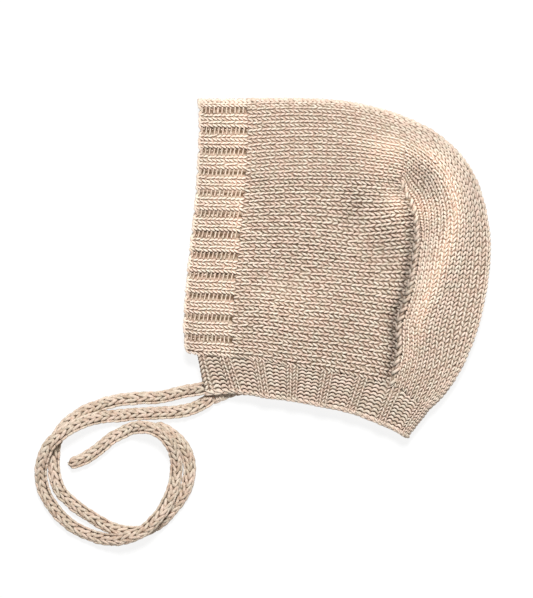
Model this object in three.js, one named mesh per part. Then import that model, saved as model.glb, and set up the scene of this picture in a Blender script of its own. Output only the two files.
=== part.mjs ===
import * as THREE from 'three'

// Knitted baby bonnet, lying on its side, folded flat along the middle of the head.
// Millimetres. X runs from the face to the back of the head, Y from the nape to the top,
// Z up from the surface it lies on. The near half is on top, the far half rests below.

// Outline of the folded bonnet
const bonnetDepth = 160
const bonnetHeight = 178

// Widths of the knitted pieces
const bandWidth = 25
const bandOverhang = 5.7
const neckBandHeight = 19.5
const stripHalfWidth = 41
const stripNapeWidth = 24.5
const seamWidth = 4.4
const seamHeight = 4
const seamStitch = 4.7
const seamEndRoom = 1
const seamWaist = 0.78
const tieDiameter = 5.9
const gap = 0.3

// Thickness of the knitting
const wall = 2.6
const ribWall = 3.4
const ribRecess = 1.3
const ribFlank = 0.8

// Ribs: the face band has one sunk wale after two raised ones, the neck band two raised
// wales after three sunk ones
const bandRibPitch = 10.7
const bandRibShift = 1.2
const bandGroove = 3.2
const neckRibPitch = 18.2
const neckRib = 7.2
const firstNeckRib = 13.8
const edgeRib = 4
const napeRib = 14

// How the cloth stands: height of the near side above the table, of the rolled fold,
// of the puffed ridge round the back of the head, and depth of creases and dents. The
// crease along the seam is shallow at both ends: creaseStart and creaseEnd are the shares
// of its depth there, creaseGrowth and creaseFade the shares of the seam where it is
// fully deep and where it starts to fade.
const panelLoft = 15
const bandFoldRise = 6.8
const napeFoldRise = 6.6
const backFoldRise = 10
const backFoldRoll = 18
const ridgeLift = 12.5
const ridgeReach = 12
const swellLift = 10
const creaseDepth = 6
const creaseReach = 5.5
const creaseStart = 0.25
const creaseGrowth = 0.4
const creaseFade = 0.8
const creaseEnd = 0.35
const hemFall = 1.6
const hemReach = 9

// Fold line from the top of the head round the back, a row for each section.
// x and y are shares of depth and height. width is the share of the strip's half width,
// turn the degrees from straight down to the section's own direction, towards the face.
// rise and roll are shares of the back fold's height and of its rolled radius.
const crownSections = [
  { x: 0.378, y: 0.999, width: 1.00, turn: 0, rise: 0.69, roll: 0.39 },
  { x: 0.524, y: 0.991, width: 0.98, turn: 0, rise: 0.71, roll: 0.42 },
  { x: 0.638, y: 0.969, width: 0.92, turn: 2, rise: 0.76, roll: 0.55 },
  { x: 0.720, y: 0.945, width: 0.86, turn: 4, rise: 0.84, roll: 0.76 }
]
const heelSections = [
  { x: 0.821, y: 0.899, width: 0.88, turn: 27, rise: 0.95, roll: 0.94 },
  { x: 0.909, y: 0.827, width: 0.90, turn: 47, rise: 1.00, roll: 1.00 },
  { x: 0.964, y: 0.739, width: 0.92, turn: 64, rise: 1.00, roll: 1.00 },
  { x: 0.993, y: 0.636, width: 0.93, turn: 81, rise: 1.00, roll: 1.00 },
  { x: 1.000, y: 0.546, width: 0.97, turn: 89, rise: 1.00, roll: 1.00 },
  { x: 0.987, y: 0.432, width: 1.00, turn: 91, rise: 1.00, roll: 1.00 },
  { x: 0.954, y: 0.307, width: 1.01, turn: 99, rise: 0.94, roll: 0.86 },
  { x: 0.906, y: 0.204, width: 0.86, turn: 109, rise: 0.84, roll: 0.62 },
  { x: 0.853, y: 0.130, width: 0.73, turn: 118, rise: 0.74, roll: 0.45 }
]

// Face edge from the top fold down, shares of depth and height
const faceEdge = [
  { x: 0.047, y: 0.999 },
  { x: 0.052, y: 0.931 },
  { x: 0.050, y: 0.844 },
  { x: 0.039, y: 0.698 },
  { x: 0.023, y: 0.566 },
  { x: 0.010, y: 0.450 },
  { x: 0.002, y: 0.333 }
]

// Lower edge of the neck band from the face to the nape. lean is the degrees that the
// band's ribs lean back from upright, tall the share of the band's height.
const neckSections = [
  { x: 0.072, y: 0.131, lean: -12, tall: 1.12 },
  { x: 0.173, y: 0.136, lean: -18, tall: 1.07 },
  { x: 0.264, y: 0.123, lean: -9, tall: 1.04 },
  { x: 0.355, y: 0.112, lean: 2, tall: 0.93 },
  { x: 0.448, y: 0.096, lean: 11, tall: 0.96 },
  { x: 0.537, y: 0.079, lean: 19, tall: 0.98 },
  { x: 0.622, y: 0.051, lean: 22, tall: 1.06 },
  { x: 0.687, y: 0.025, lean: 30, tall: 0.98 },
  { x: 0.730, y: 0.001, lean: 38, tall: 0.95 }
]

// Puffed ridge round the back of the near half: shares of depth and height, and of its lift
const ridgeLine = [
  { x: 0.500, y: 0.880, lift: 0.05 },
  { x: 0.687, y: 0.855, lift: 0.45 },
  { x: 0.801, y: 0.820, lift: 0.85 },
  { x: 0.868, y: 0.727, lift: 1.00 },
  { x: 0.880, y: 0.645, lift: 1.00 },
  { x: 0.845, y: 0.545, lift: 1.00 },
  { x: 0.793, y: 0.429, lift: 0.92 },
  { x: 0.754, y: 0.318, lift: 0.70 },
  { x: 0.731, y: 0.225, lift: 0.40 },
  { x: 0.722, y: 0.137, lift: 0.05 }
]

// Swells and dents of the near half: shares of depth and height, how far each reaches
// along and up in the same shares, and its share of the swell's lift
const swells = [
  { x: 0.476, y: 0.406, along: 0.277, up: 0.248, lift: 0.34 },
  { x: 0.690, y: 0.683, along: 0.059, up: 0.053, lift: 0.42 },
  { x: 0.775, y: 0.762, along: 0.038, up: 0.036, lift: -0.28 },
  { x: 0.654, y: 0.815, along: 0.055, up: 0.050, lift: 0.22 },
  { x: 0.573, y: 0.643, along: 0.060, up: 0.062, lift: -0.38 },
  { x: 0.650, y: 0.560, along: 0.055, up: 0.060, lift: -0.42 },
  { x: 0.400, y: 0.500, along: 0.100, up: 0.053, lift: -0.22 },
  { x: 0.290, y: 0.400, along: 0.078, up: 0.053, lift: 0.30 },
  { x: 0.254, y: 0.295, along: 0.072, up: 0.041, lift: -0.16 },
  { x: 0.110, y: 0.640, along: 0.090, up: 0.120, lift: 0.10 },
  { x: 0.085, y: 0.140, along: 0.100, up: 0.080, lift: -0.42 }
]

// Routes of the two ties from the bonnet's front corners to their free ends
const tieNearRoute = [
  [-69.9, -62.6, 8.0], [-74.6, -63.3, 6.4], [-81.4, -64.6, 4.2], [-92.3, -67.2, 3.0],
  [-103.2, -67.7, 3.0], [-114.1, -68.8, 3.0], [-121.4, -70.6, 3.0], [-125.6, -72.1, 3.0],
  [-129.7, -73.6, 3.0], [-133.4, -75.5, 3.0], [-137.3, -78.1, 3.0], [-141.2, -81.2, 3.0],
  [-144.8, -85.4, 3.0], [-147.2, -90.6, 3.0], [-147.9, -95.3, 3.0], [-148.2, -100.5, 3.0],
  [-148.0, -105.7, 3.0], [-147.0, -111.4, 3.0], [-144.3, -117.1, 3.0], [-139.1, -122.3, 3.0],
  [-132.9, -127.3, 3.0], [-127.1, -130.9, 3.0], [-121.4, -134.2, 3.0], [-115.7, -136.6, 3.0],
  [-110.0, -137.9, 3.0], [-104.0, -138.0, 3.0], [-98.0, -136.1, 3.0], [-91.8, -132.2, 3.0],
  [-86.8, -127.0, 3.0], [-82.3, -121.3, 3.0], [-79.0, -115.4, 3.0], [-77.3, -109.3, 3.0],
  [-77.0, -103.1, 3.0], [-78.3, -96.9, 3.0], [-81.5, -91.4, 3.0], [-85.9, -87.2, 3.0],
  [-90.7, -84.1, 3.0], [-95.9, -82.8, 3.0]
]
const tieFarRoute = [
  [-66.6, -68.2, 3.0], [-71.5, -71.4, 3.0], [-76.7, -73.5, 3.0], [-84.5, -75.0, 3.0],
  [-92.3, -75.5, 3.0], [-100.1, -75.8, 3.0], [-107.9, -76.3, 3.0], [-115.7, -77.1, 3.0],
  [-121.9, -77.5, 4.2], [-128.1, -78.6, 6.9], [-133.4, -80.4, 8.8], [-137.3, -82.1, 9.6],
  [-141.3, -84.5, 9.7], [-146.6, -88.7, 9.7], [-150.5, -92.7, 9.2], [-152.9, -98.0, 7.8],
  [-154.4, -103.3, 5.8], [-154.8, -108.3, 4.0], [-154.1, -114.0, 3.0], [-151.9, -119.7, 3.0],
  [-147.9, -125.7, 3.0], [-142.7, -131.4, 3.0], [-136.0, -136.4, 3.0], [-128.2, -139.8, 3.2],
  [-121.4, -141.5, 5.0], [-115.2, -141.7, 7.6], [-109.5, -140.5, 9.3], [-103.7, -138.2, 9.7],
  [-98.5, -135.1, 9.7], [-94.4, -130.9, 9.6], [-90.7, -126.2, 9.0], [-87.6, -120.5, 7.8],
  [-85.3, -114.5, 6.2], [-84.0, -108.3, 5.0], [-83.7, -103.1, 4.8], [-84.2, -97.9, 6.0],
  [-85.8, -93.0, 8.2], [-88.7, -88.5, 9.5], [-92.3, -85.4, 9.7], [-97.0, -83.2, 9.5],
  [-101.9, -82.7, 7.2], [-107.4, -83.6, 4.2], [-112.6, -85.9, 3.0], [-118.3, -89.0, 3.0],
  [-125.3, -94.8, 3.0], [-133.4, -99.9, 3.0], [-140.4, -102.3, 3.0]
]

// Fineness of the faceted walls
const bandColumns = 4
const neckRows = 4
const stripColumns = 34
const stripRowsEachSide = 9
const panelRows = 18
const panelColumns = 10
const seamSides = 8
const tieSides = 10
const tieStep = 6.8
const crossingSteps = 48
const chainSteps = 42
const endBlend = 6
const halvings = 30

const oatmeal = 0xcbb7a5
const shadedOatmeal = 0xbda694

const between = (a, b, share) => a + (b - a) * share
const inPlan = (row) => new THREE.Vector2((row.x - 0.5) * bonnetDepth, (row.y - 0.5) * bonnetHeight)
const mix = (a, b, share) => a.clone().lerp(b, share)

function columnAt(rows, name, share) {
  const spot = Math.min(Math.max(share, 0), 1) * (rows.length - 1)
  const index = Math.min(Math.floor(spot), rows.length - 2)
  return between(rows[index][name], rows[index + 1][name], spot - index)
}

// Lines of the folded bonnet in plan

const hemLine = new THREE.SplineCurve(neckSections.map(inPlan))
const neckTop = new THREE.SplineCurve(neckSections.map((row) => {
  const lean = THREE.MathUtils.degToRad(row.lean)
  const height = neckBandHeight * row.tall
  return inPlan(row).add(new THREE.Vector2(Math.sin(lean) * height, Math.cos(lean) * height))
}))
const neckTopLength = neckTop.getLength()

const bandCorner = neckTop.getPoint(0).add(new THREE.Vector2(-bandOverhang, 1))
const faceLine = new THREE.SplineCurve([...faceEdge.map(inPlan), bandCorner])
const bandEnd = (bandWidth - bandOverhang) / neckTopLength
const joinTop = new THREE.Vector2(bandWidth, 0)
const joinBottom = neckTop.getPointAt(bandEnd).sub(bandCorner)
const joinAt = (v) => faceLine.getPointAt(v).add(mix(joinTop, joinBottom, v))
const crownStart = stripHalfWidth / faceLine.getLength()

const napeStart = 1 - stripNapeWidth / neckTopLength
const foldRows = [...crownSections, ...heelSections]
const foldLine = new THREE.SplineCurve([joinAt(0), ...foldRows.map(inPlan), neckTop.getPoint(1)])
const innerPoints = foldRows.map((row) => {
  const turn = THREE.MathUtils.degToRad(row.turn)
  const width = stripHalfWidth * row.width
  return inPlan(row).add(new THREE.Vector2(-Math.sin(turn) * width, -Math.cos(turn) * width))
})
const innerLine = new THREE.SplineCurve([
  joinAt(crownStart),
  ...innerPoints,
  neckTop.getPointAt(napeStart)
])
const seamStart = crownSections.length / (foldRows.length + 1)

const bandFold = { rise: bandFoldRise, roll: bandFoldRise }
const napeFold = { rise: napeFoldRise, roll: napeFoldRise }
const stripFolds = [
  bandFold,
  ...foldRows.map((row) => ({ rise: row.rise * backFoldRise, roll: row.roll * backFoldRoll })),
  napeFold
]
const stripFold = (s) => ({
  rise: columnAt(stripFolds, 'rise', s),
  roll: columnAt(stripFolds, 'roll', s)
})

// Heights of the two layers

function sampled(line, from, to) {
  return Array.from({ length: chainSteps + 1 }, (_, k) => line.getPoint(between(from, to, k / chainSteps)))
}

// Shortest way in plan from a point to a chain of points, and how far along the chain it meets
function nearestOn(chain, point) {
  let best = { distance: Infinity, share: 0 }
  for (let k = 0; k < chain.length - 1; k++) {
    const step = chain[k + 1].clone().sub(chain[k])
    const along = point.clone().sub(chain[k]).dot(step) / step.lengthSq()
    const inside = Math.min(Math.max(along, 0), 1)
    const distance = point.distanceTo(chain[k].clone().addScaledVector(step, inside))
    if (distance < best.distance) {
      best = { distance, share: (k + inside) / (chain.length - 1) }
    }
  }
  return best
}

const ridgeChain = sampled(new THREE.SplineCurve(ridgeLine.map(inPlan)), 0, 1)
const seamChain = sampled(innerLine, seamStart, 1)
const hemChain = sampled(hemLine, 0, 1)
const bell = (distance, reach) => Math.exp(-((distance / reach) ** 2))

// Depth of the crease where the seam is nearest to a point, and the distance to the seam
function creaseAt(point) {
  const seam = nearestOn(seamChain, point)
  const grown = between(creaseStart, 1, Math.min(seam.share / creaseGrowth, 1))
  const faded = between(1, creaseEnd, Math.max((seam.share - creaseFade) / (1 - creaseFade), 0))
  return { depth: creaseDepth * grown * faded, distance: seam.distance }
}

function nearHeight(point) {
  const ridge = nearestOn(ridgeChain, point)
  const lift = columnAt(ridgeLine, 'lift', ridge.share)
  let height = panelLoft + ridgeLift * lift * bell(ridge.distance, ridgeReach)
  for (const swell of swells) {
    const centre = inPlan(swell)
    const across = (point.x - centre.x) / (swell.along * bonnetDepth)
    const up = (point.y - centre.y) / (swell.up * bonnetHeight)
    height += swellLift * swell.lift * bell(Math.hypot(across, up), 1)
  }
  const crease = creaseAt(point)
  height -= crease.depth * bell(crease.distance, creaseReach)
  height -= hemFall * bell(nearestOn(hemChain, point).distance, hemReach)
  return height
}

// Share of the full height at a distance inwards from a fold of the given radius
function roundOff(distance, radius) {
  const share = Math.min(distance / radius, 1)
  return Math.sqrt(1 - (1 - share) ** 2)
}

function lifted(side, point, distance, fold) {
  const z = side === 'near'
    ? between(fold.rise, nearHeight(point), roundOff(distance, fold.roll))
    : fold.rise * (1 - roundOff(distance, fold.rise))
  return new THREE.Vector3(point.x, point.y, z)
}

// A path in plan from the fold inwards, followed over the fold from one layer to the other:
// lengths above zero are on the near layer, below zero on the far one
function measuredSide(side, path, fold) {
  const marks = []
  let flat = 0
  let length = 0
  let lastFlat = path(0)
  let lastPoint = lifted(side, lastFlat, 0, fold)
  for (let k = 0; k <= crossingSteps; k++) {
    const share = (k / crossingSteps) ** 2
    const spot = path(share)
    flat += spot.distanceTo(lastFlat)
    const point = lifted(side, spot, flat, fold)
    length += point.distanceTo(lastPoint)
    marks.push({ share, flat, length })
    lastFlat = spot
    lastPoint = point
  }
  const shareAt = (arc) => {
    const next = Math.max(marks.findIndex((mark) => mark.length >= arc), 1)
    const a = marks[next - 1]
    const b = marks[next]
    const part = Math.min((arc - a.length) / (b.length - a.length), 1)
    return { share: between(a.share, b.share, part), flat: between(a.flat, b.flat, part) }
  }
  const at = (arc) => {
    const spot = shareAt(Math.min(arc, length - 1e-6))
    return lifted(side, path(spot.share), spot.flat, fold)
  }
  return { length, at, shareAt }
}

function crossing(path, fold) {
  const near = measuredSide('near', path, fold)
  const far = measuredSide('far', path, fold)
  return { near, far, at: (arc) => (arc >= 0 ? near.at(arc) : far.at(-arc)) }
}

// A line moved at its ends only, so that it starts and stops where its neighbours do
function tied(line, start, end) {
  const startShift = start.clone().sub(line(0))
  const endShift = end.clone().sub(line(1))
  return (v) => line(v)
    .addScaledVector(startShift, (1 - v) ** endBlend)
    .addScaledVector(endShift, v ** endBlend)
}

// A patch in plan between four lines, top and bottom running with u, left and right with v
function patch(top, bottom, leftSide, rightSide) {
  const left = tied(leftSide, top(0), bottom(0))
  const right = tied(rightSide, top(1), bottom(1))
  return (u, v) => {
    const across = mix(left(v), right(v), u)
    const down = mix(top(u), bottom(u), v)
    const corners = mix(mix(top(0), top(1), u), mix(bottom(0), bottom(1), u), v)
    return across.add(down).sub(corners)
  }
}

// Solids

// A closed wall under a grid of outer points. Every point holds its place and how far the
// outer face is sunk there. facing is the side, up or down, that the first row looks to.
function wallUnder(grid, thickness, facing) {
  const rows = grid.length
  const columns = grid[0].length
  const kept = (k, count) => Math.min(Math.max(k, 0), count - 1)
  const place = (i, j) => grid[kept(i, rows)][kept(j, columns)].at
  const normals = grid.map((row, i) => row.map((_, j) => {
    const down = place(i + 1, j).clone().sub(place(i - 1, j))
    const across = place(i, j + 1).clone().sub(place(i, j - 1))
    return down.cross(across).normalize()
  }))
  const turned = normals[0][Math.floor(columns / 2)].z * facing < 0
  const outward = turned ? -1 : 1
  const positions = []
  const layer = (depth) => {
    grid.forEach((row, i) => row.forEach((spot, j) => {
      const sunk = depth === null ? spot.sunk : depth
      const point = spot.at.clone().addScaledVector(normals[i][j], -outward * sunk)
      positions.push(point.x, point.y, point.z)
    }))
  }
  layer(null)
  layer(thickness)
  const index = []
  const outer = (i, j) => i * columns + j
  const inner = (i, j) => rows * columns + i * columns + j
  const quad = (a, b, c, d) => {
    const corners = turned ? [a, c, b, a, d, c] : [a, b, c, a, c, d]
    index.push(...corners)
  }
  for (let i = 0; i < rows - 1; i++) {
    for (let j = 0; j < columns - 1; j++) {
      quad(outer(i, j), outer(i + 1, j), outer(i + 1, j + 1), outer(i, j + 1))
      quad(inner(i, j), inner(i, j + 1), inner(i + 1, j + 1), inner(i + 1, j))
    }
    quad(outer(i, 0), inner(i, 0), inner(i + 1, 0), outer(i + 1, 0))
    const end = columns - 1
    quad(outer(i, end), outer(i + 1, end), inner(i + 1, end), inner(i, end))
  }
  for (let j = 0; j < columns - 1; j++) {
    quad(outer(0, j), outer(0, j + 1), inner(0, j + 1), inner(0, j))
    quad(outer(rows - 1, j), inner(rows - 1, j), inner(rows - 1, j + 1), outer(rows - 1, j + 1))
  }
  return closedGeometry(positions, index)
}

function closedGeometry(positions, index) {
  const geometry = new THREE.BufferGeometry()
  geometry.setAttribute('position', new THREE.Float32BufferAttribute(positions, 3))
  geometry.setIndex(index)
  geometry.computeVertexNormals()
  return geometry
}

function piece(name, geometry, color) {
  const material = new THREE.MeshStandardMaterial({ color, roughness: 0.95, metalness: 0 })
  const mesh = new THREE.Mesh(geometry, material)
  mesh.name = name
  return mesh
}

// Places along a ribbed wall where its face bends, and how deep it lies at each.
// Grooves are given by centre and width; between them the face is raised.
function grooveMarks(grooves, from, to) {
  const marks = []
  for (const groove of grooves) {
    const half = groove.width / 2
    marks.push({ arc: groove.centre - half - ribFlank / 2, sunk: 0 })
    marks.push({ arc: groove.centre - half + ribFlank / 2, sunk: ribRecess })
    marks.push({ arc: groove.centre + half - ribFlank / 2, sunk: ribRecess })
    marks.push({ arc: groove.centre + half + ribFlank / 2, sunk: 0 })
  }
  const inside = marks.filter((mark) => mark.arc > from + ribFlank && mark.arc < to - ribFlank)
  const sunkAtEnd = (mark, own) => (mark && mark.sunk > 0 && own.sunk > 0 ? ribRecess : 0)
  const first = { arc: from, sunk: sunkAtEnd(inside[0], inside[1]) }
  const last = { arc: to, sunk: sunkAtEnd(inside.at(-1), inside.at(-2)) }
  return [first, ...inside, last].sort((a, b) => a.arc - b.arc)
}

// Face band: from the near neck band over the top fold to the far neck band

const bandPlan = patch(
  (u) => mix(faceLine.getPoint(0), joinAt(0), u),
  (u) => {
    const along = u * bandWidth - bandOverhang
    return along < 0
      ? mix(bandCorner, neckTop.getPoint(0), 1 + along / bandOverhang)
      : neckTop.getPointAt(along / neckTopLength)
  },
  (v) => faceLine.getPointAt(v),
  joinAt
)

function buildFrontBand() {
  const columns = []
  for (let k = 0; k <= bandColumns; k++) {
    const u = (k / bandColumns) * (1 - gap / 2 / bandWidth)
    columns.push(crossing((t) => bandPlan(u, t), bandFold))
  }
  const shortest = (side) => Math.min(...columns.map((column) => column[side].length))
  const ends = { near: shortest('near') - gap / 2, far: shortest('far') - gap / 2 }
  const grooves = []
  const first = Math.ceil((-ends.far - bandRibShift) / bandRibPitch)
  for (let k = first; k * bandRibPitch + bandRibShift < ends.near; k++) {
    grooves.push({ centre: k * bandRibPitch + bandRibShift, width: bandGroove })
  }
  const marks = grooveMarks(grooves, -ends.far, ends.near)
  const grid = marks.map((mark) => columns.map((column) => {
    const side = mark.arc >= 0 ? 'near' : 'far'
    const full = column[side].length - gap / 2
    const atEnd = mark === marks[0] || mark === marks.at(-1)
    const arc = atEnd ? Math.sign(mark.arc) * full : mark.arc
    return { at: column.at(arc), sunk: mark.sunk }
  }))
  return piece('front_band', wallUnder(grid.reverse(), ribWall, 1), oatmeal)
}

// Crown strip: the middle of the head, from the face band over the top and down to the nape

// Room between the strip's inner line and each of the pieces that meet there: half a gap
// over the crown, and room for half of the seam ridge from the seam's start
function innerRoom(s) {
  const ramp = Math.min(Math.max((s - seamStart) * stripColumns + 2, 0), 1)
  return between(gap / 2, seamWidth / 2 + gap, ramp)
}

// The inner line moved towards the fold, or away from it where the sign is negative
function besideInner(s, sign) {
  const tangent = innerLine.getTangent(s)
  const inwards = new THREE.Vector2(-tangent.y, tangent.x)
  return innerLine.getPoint(s).addScaledVector(inwards, sign * innerRoom(s))
}

const stripPlan = patch(
  (s) => foldLine.getPoint(s),
  (s) => besideInner(s, 1),
  (t) => joinAt(t * crownStart),
  (t) => neckTop.getPointAt(between(1, napeStart, t))
)

function buildCrownStrip() {
  const rows = stripRowsEachSide
  const foldLength = foldLine.getLength()
  const columns = []
  for (let k = 0; k <= stripColumns; k++) {
    const s = between(gap / 2 / foldLength, 1 - gap / 2 / foldLength, k / stripColumns)
    columns.push(crossing((t) => stripPlan(s, t), stripFold(s)))
  }
  const grid = []
  for (let k = rows; k >= -rows; k--) {
    grid.push(columns.map((column) => {
      const side = k >= 0 ? column.near : column.far
      return { at: column.at((k / rows) * side.length), sunk: 0 }
    }))
  }
  return piece('crown_strip', wallUnder(grid, wall, 1), oatmeal)
}

// Side panels: near and far, between the face band, the crown strip and the neck band

const panelEnd = napeStart - innerRoom(1) / neckTopLength
const panelPlan = patch(
  (u) => besideInner(u * seamStart, -1),
  (u) => neckTop.getPointAt(between(bandEnd, panelEnd, u)),
  (v) => joinAt(between(crownStart, 1, v)),
  (v) => besideInner(between(seamStart, 1, v), -1)
)

function buildSidePanel(side) {
  const grid = []
  for (let i = 0; i <= panelRows; i++) {
    const row = []
    for (let j = 0; j <= panelColumns; j++) {
      const top = panelPlan(j / panelColumns, 0)
      const bottom = panelPlan(j / panelColumns, 1)
      const tall = top.distanceTo(bottom)
      const v = between(0, 1 - gap / 2 / tall, i / panelRows)
      const wide = panelPlan(0, v).distanceTo(panelPlan(1, v))
      const u = between(gap / 2 / wide, 1, Math.sin((j / panelColumns) * Math.PI / 2))
      const point = panelPlan(u, v)
      const z = side === 'near' ? nearHeight(point) : 0
      row.push({ at: new THREE.Vector3(point.x, point.y, z), sunk: 0 })
    }
    grid.push(row)
  }
  const facing = side === 'near' ? 1 : -1
  return piece(`side_panel_${side}`, wallUnder(grid, wall, facing), oatmeal)
}

// Seam ridges: the raised row of slanting stitches where side panel and strip are joined

function buildSeamRidge(side) {
  const length = new THREE.SplineCurve(seamChain).getLength()
  const stitches = Math.round(length / seamStitch)
  const line = new THREE.SplineCurve(seamChain)
  const rings = []
  for (let k = 0; k <= stitches * 2; k++) {
    const share = between(gap / length, 1 - seamEndRoom / length, k / (stitches * 2))
    const point = line.getPointAt(share)
    const tangent = line.getTangentAt(share)
    const fullness = k % 2 === 1 ? 1 : seamWaist
    const centre = side === 'near'
      ? nearHeight(point) + (creaseAt(point).depth - seamHeight) / 2
      : seamHeight / 2
    const ring = []
    for (let n = 0; n < seamSides; n++) {
      const angle = (n / seamSides) * Math.PI * 2
      const across = Math.cos(angle) * (seamWidth / 2) * fullness
      const up = Math.sin(angle) * (seamHeight / 2) * fullness
      const x = point.x - tangent.y * across
      const y = point.y + tangent.x * across
      ring.push(new THREE.Vector3(x, y, centre + up))
    }
    rings.push(ring)
  }
  return piece(`seam_ridge_${side}`, loftRings(rings), shadedOatmeal)
}

function loftRings(rings) {
  const sides = rings[0].length
  const positions = rings.flat().flatMap((point) => point.toArray())
  const index = []
  for (let k = 0; k < rings.length - 1; k++) {
    for (let n = 0; n < sides; n++) {
      const next = (n + 1) % sides
      const a = k * sides + n
      const b = k * sides + next
      const c = (k + 1) * sides + next
      const d = (k + 1) * sides + n
      index.push(a, b, c, a, c, d)
    }
  }
  const last = (rings.length - 1) * sides
  for (let n = 1; n < sides - 1; n++) {
    index.push(0, n + 1, n)
    index.push(last, last + n, last + n + 1)
  }
  return closedGeometry(positions, index)
}

// Neck band: picked up along the lower edges, from the near corner round the nape fold

function neckPoint(t, v) {
  return mix(neckTop.getPoint(t), hemLine.getPoint(t), v)
}

function buildNeckBand() {
  const rows = []
  for (let k = 0; k <= neckRows; k++) {
    const v = between(gap / neckBandHeight, 1, k / neckRows)
    rows.push(crossing((share) => neckPoint(1 - share, v), napeFold))
  }
  const top = rows[0]
  const sideGrooves = (length) => {
    const raised = [{ centre: length, width: edgeRib * 2 }]
    for (let along = firstNeckRib; along < length - napeRib - neckRib; along += neckRibPitch) {
      raised.push({ centre: length - along, width: neckRib })
    }
    raised.push({ centre: 0, width: napeRib * 2 })
    return raised.slice(1).map((rib, k) => {
      const high = raised[k].centre - raised[k].width / 2
      const low = rib.centre + rib.width / 2
      return { centre: (high + low) / 2, width: high - low }
    })
  }
  const nearGrooves = sideGrooves(top.near.length)
  const farGrooves = sideGrooves(top.far.length)
  const mirrored = farGrooves.map((groove) => ({ centre: -groove.centre, width: groove.width }))
  const fold = [{ arc: napeRib / 2, sunk: 0 }, { arc: 0, sunk: 0 }, { arc: -napeRib / 2, sunk: 0 }]
  const nearMarks = grooveMarks(nearGrooves, 0, top.near.length).filter((mark) => mark.arc > 0)
  const farMarks = grooveMarks(mirrored, -top.far.length, 0).filter((mark) => mark.arc < 0)
  const marks = [...nearMarks, ...fold, ...farMarks].sort((a, b) => b.arc - a.arc)
  const grid = marks.map((mark) => rows.map((row) => {
    const side = mark.arc >= 0 ? 'near' : 'far'
    const spot = top[side].shareAt(Math.min(Math.abs(mark.arc), top[side].length - 1e-6))
    const own = arcOfShare(row[side], spot.share)
    return { at: row[side].at(own), sunk: mark.sunk }
  }))
  return piece('neck_band', wallUnder(grid, ribWall, 1), oatmeal)
}

// Length along a measured side at which the path has run the given share
function arcOfShare(side, share) {
  let low = 0
  let high = side.length
  for (let k = 0; k < halvings; k++) {
    const middle = (low + high) / 2
    if (side.shareAt(middle).share < share) {
      low = middle
    } else {
      high = middle
    }
  }
  return (low + high) / 2
}

// Ties: round knitted cords laid in loose loops on the table

function buildTie(name, route) {
  const points = route.map((point) => new THREE.Vector3(...point))
  const path = new THREE.CatmullRomCurve3(points, false, 'centripetal')
  const section = new THREE.Shape()
  for (let n = 0; n < tieSides; n++) {
    const angle = (n / tieSides) * Math.PI * 2
    const x = Math.cos(angle) * tieDiameter / 2
    const y = Math.sin(angle) * tieDiameter / 2
    if (n === 0) {
      section.moveTo(x, y)
    } else {
      section.lineTo(x, y)
    }
  }
  const steps = Math.round(path.getLength() / tieStep)
  const geometry = new THREE.ExtrudeGeometry(section, { steps, bevelEnabled: false, extrudePath: path })
  return piece(name, geometry, oatmeal)
}

const bonnet = new THREE.Group()
bonnet.add(buildFrontBand())
bonnet.add(buildCrownStrip())
bonnet.add(buildSidePanel('near'))
bonnet.add(buildSidePanel('far'))
bonnet.add(buildSeamRidge('near'))
bonnet.add(buildSeamRidge('far'))
bonnet.add(buildNeckBand())

// The origin is under the middle of the bonnet's own box, without the ties
const box = new THREE.Box3().setFromObject(bonnet)
const middle = box.getCenter(new THREE.Vector3())
bonnet.add(buildTie('tie_near', tieNearRoute))
bonnet.add(buildTie('tie_far', tieFarRoute))
bonnet.position.set(-middle.x, -middle.y, 0)

const group = new THREE.Group()
group.add(bonnet)

export default group
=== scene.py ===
import math

import bpy
import numpy as np
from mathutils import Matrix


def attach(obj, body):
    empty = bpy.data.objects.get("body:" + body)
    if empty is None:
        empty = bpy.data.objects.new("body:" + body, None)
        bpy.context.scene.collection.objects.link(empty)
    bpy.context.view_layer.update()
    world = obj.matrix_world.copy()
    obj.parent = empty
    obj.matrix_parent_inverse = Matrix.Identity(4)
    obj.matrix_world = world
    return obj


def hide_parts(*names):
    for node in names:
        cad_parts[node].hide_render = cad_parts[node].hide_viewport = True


# Knitted baby bonnet lying on its side. The cloth is worked out in millimetres in the
# model's own frame: X from the face to the back of the head, Y from the nape to the top of
# the head, Z up from the table. Finished pieces are in metres.

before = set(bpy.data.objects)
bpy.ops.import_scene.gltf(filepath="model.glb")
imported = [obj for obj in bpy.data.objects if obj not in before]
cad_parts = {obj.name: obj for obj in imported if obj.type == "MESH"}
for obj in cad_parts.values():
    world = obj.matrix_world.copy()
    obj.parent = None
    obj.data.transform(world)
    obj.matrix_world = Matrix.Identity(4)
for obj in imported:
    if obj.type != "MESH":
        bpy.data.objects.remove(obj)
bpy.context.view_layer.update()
MM = 0.001
# From the cloth's own origin to that of the shared frame
FRAME_SHIFT = np.array((-0.164, -0.042, 0.0))
# Stitches lower than this over the table are pressed flat on it
PRESSED = 0.4

# Camera: straight down on the photograph's middle
PHOTO_HEIGHT = 598
MM_PER_PIXEL = 0.52
PHOTO_MIDDLE = (-37.1, -16.2)
CAMERA_HEIGHT = 1500.0
SENSOR = 36.0
CLOTH_LEVEL = 10.0


def place_camera():
    data = bpy.data.cameras.new("camera")
    camera = bpy.data.objects.new("camera", data)
    bpy.context.scene.collection.objects.link(camera)
    x, y = PHOTO_MIDDLE
    camera.location = (x * MM, y * MM, (CAMERA_HEIGHT + CLOTH_LEVEL) * MM)
    data.sensor_width = SENSOR
    data.lens = SENSOR * CAMERA_HEIGHT / (PHOTO_HEIGHT * MM_PER_PIXEL)
    data.clip_start = 0.05
    data.clip_end = 20.0
    bpy.context.scene.camera = camera


place_camera()

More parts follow.
